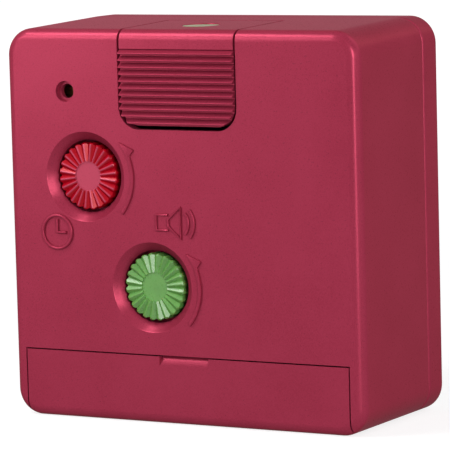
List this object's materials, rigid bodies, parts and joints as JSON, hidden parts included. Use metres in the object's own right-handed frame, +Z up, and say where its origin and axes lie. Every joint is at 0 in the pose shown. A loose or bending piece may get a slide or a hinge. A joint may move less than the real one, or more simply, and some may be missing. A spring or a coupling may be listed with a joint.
{
  "type": "travel alarm clock",
  "caption": "Compact square quartz travel alarm clock: moulded case with dished knob wells, ribbed alarm key, battery cover, dial, hands and a full gear train.",
  "frame": {"origin": "middle of the base in X, halfway between the front face and the key's ribs in Y, on the base in Z", "axes": "+Z up, +Y out of the back with the knobs, X across the case"},
  "size_m": [0.057, 0.0262, 0.057],
  "materials": {
    "crimson_shell": "moulded, pearlescent lacquer, satin gloss",
    "crimson_knob": "moulded, lacquered with the shell",
    "green_knob": "moulded through-coloured green, glossy",
    "green_marker": "moulded green inlay",
    "lens": "clear acrylic sheet",
    "dial": "printed matt dial",
    "inner_plastic": "moulded, unpainted",
    "movement_plastic": "moulded natural acetal",
    "hand_black": "sheet aluminium, matt black",
    "hand_green": "sheet aluminium, green lacquer",
    "hand_red": "sheet aluminium, red lacquer",
    "steel": "bright steel",
    "nickel": "nickel plated",
    "brass": "rolled brass",
    "copper": "enamelled copper wire",
    "board": "glass epoxy with green lacquer",
    "resin": "cast black resin",
    "cell_jacket": "plain printed sleeve"
  },
  "bodies": {
    "clock_case": {"rear_housing": "crimson_shell", "front_bezel": "crimson_shell", "front_lens": "lens", "dial_plate": "dial", "movement_plate": "inner_plastic", "movement_case": "inner_plastic", "stator_plate": "steel", "coil_core": "steel", "coil_bobbin": "movement_plastic", "coil_winding": "copper", "circuit_board": "board", "chip_cover": "resin", "quartz_crystal": "nickel", "buzzer_ring": "inner_plastic", "buzzer_disc": "brass", "battery_contact_plus": "nickel", "battery_contact_minus": "nickel", "battery_cell": "cell_jacket", "movement_screws": "steel"},
    "alarm_slide": {"switch_carriage": "inner_plastic", "switch_wiper": "brass", "key_spring": "steel"},
    "pressed_key": {"alarm_key": "crimson_shell", "alarm_marker": "green_marker"},
    "cover": {"battery_cover": "crimson_shell"},
    "time_setter": {"time_knob": "crimson_knob", "time_set_pinion": "movement_plastic"},
    "minute_reducer": {"minute_wheel": "movement_plastic"},
    "minute_arbor": {"cannon_pinion": "movement_plastic", "minute_hand": "hand_black"},
    "hour_arbor": {"hour_wheel": "movement_plastic", "hour_hand": "hand_black"},
    "alarm_setter": {"alarm_knob": "green_knob", "alarm_set_pinion": "movement_plastic"},
    "alarm_arbor": {"alarm_wheel": "movement_plastic", "alarm_hand": "hand_green"},
    "second_arbor": {"second_wheel": "movement_plastic", "second_hand": "hand_red"},
    "third_arbor": {"third_wheel": "movement_plastic"},
    "centre_arbor": {"centre_wheel": "movement_plastic"},
    "intermediate_arbor": {"intermediate_wheel": "movement_plastic"},
    "rotor": {"rotor_pinion": "movement_plastic", "rotor_magnet": "steel"}
  },
  "joints": [
    {"name": "alarm_switch_slide", "type": "slide", "parent": "clock_case", "child": "alarm_slide", "axis": [0, 0, 1], "range_m": [0, 0.0025]},
    {"name": "key_press", "type": "slide", "parent": "alarm_slide", "child": "pressed_key", "axis": [0, 0, -1], "range_m": [0, 0.0004], "stiffness_N_per_m": 800, "springref_m": -0.0005},
    {"name": "battery_cover_slide", "type": "slide", "parent": "clock_case", "child": "cover", "axis": [0, 1, 0], "range_m": [0, 0.02]},
    {"name": "time_knob_spin", "type": "hinge", "parent": "clock_case", "child": "time_setter", "pos_m": [0.01546, 0, 0.03524], "axis": [0, 1, 0], "continuous": true},
    {"name": "minute_wheel_spin", "type": "hinge", "parent": "clock_case", "child": "minute_reducer", "pos_m": [0.0059, 0, 0.03608], "axis": [0, 1, 0], "continuous": true},
    {"name": "minute_hand_spin", "type": "hinge", "parent": "clock_case", "child": "minute_arbor", "pos_m": [0, 0, 0.0285], "axis": [0, 1, 0], "continuous": true},
    {"name": "hour_hand_spin", "type": "hinge", "parent": "clock_case", "child": "hour_arbor", "pos_m": [0, 0, 0.0285], "axis": [0, 1, 0], "continuous": true},
    {"name": "alarm_knob_spin", "type": "hinge", "parent": "clock_case", "child": "alarm_setter", "pos_m": [0.00486, 0, 0.01966], "axis": [0, 1, 0], "continuous": true},
    {"name": "alarm_hand_spin", "type": "hinge", "parent": "clock_case", "child": "alarm_arbor", "pos_m": [0, 0, 0.0285], "axis": [0, 1, 0], "continuous": true},
    {"name": "second_hand_spin", "type": "hinge", "parent": "clock_case", "child": "second_arbor", "pos_m": [0, 0, 0.0285], "axis": [0, 1, 0], "continuous": true},
    {"name": "third_wheel_spin", "type": "hinge", "parent": "clock_case", "child": "third_arbor", "pos_m": [-0.00501, 0, 0.03261], "axis": [0, 1, 0], "continuous": true},
    {"name": "centre_wheel_spin", "type": "hinge", "parent": "clock_case", "child": "centre_arbor", "pos_m": [0, 0, 0.0285], "axis": [0, 1, 0], "continuous": true},
    {"name": "intermediate_wheel_spin", "type": "hinge", "parent": "clock_case", "child": "intermediate_arbor", "pos_m": [-0.00491, 0, 0.024], "axis": [0, 1, 0], "continuous": true},
    {"name": "rotor_spin", "type": "hinge", "parent": "clock_case", "child": "rotor", "pos_m": [-0.00886, 0, 0.02256], "axis": [0, 1, 0], "continuous": true}
  ],
  "couplings": [
    {"joint": "minute_wheel_spin", "follows": "time_knob_spin", "ratio": -0.33333},
    {"joint": "minute_hand_spin", "follows": "time_knob_spin", "ratio": 1},
    {"joint": "hour_hand_spin", "follows": "time_knob_spin", "ratio": 0.083333},
    {"joint": "alarm_hand_spin", "follows": "alarm_knob_spin", "ratio": -0.33333},
    {"joint": "third_wheel_spin", "follows": "second_hand_spin", "ratio": -0.125},
    {"joint": "centre_wheel_spin", "follows": "second_hand_spin", "ratio": 0.016667},
    {"joint": "intermediate_wheel_spin", "follows": "second_hand_spin", "ratio": -5},
    {"joint": "rotor_spin", "follows": "second_hand_spin", "ratio": 30}
  ]
}
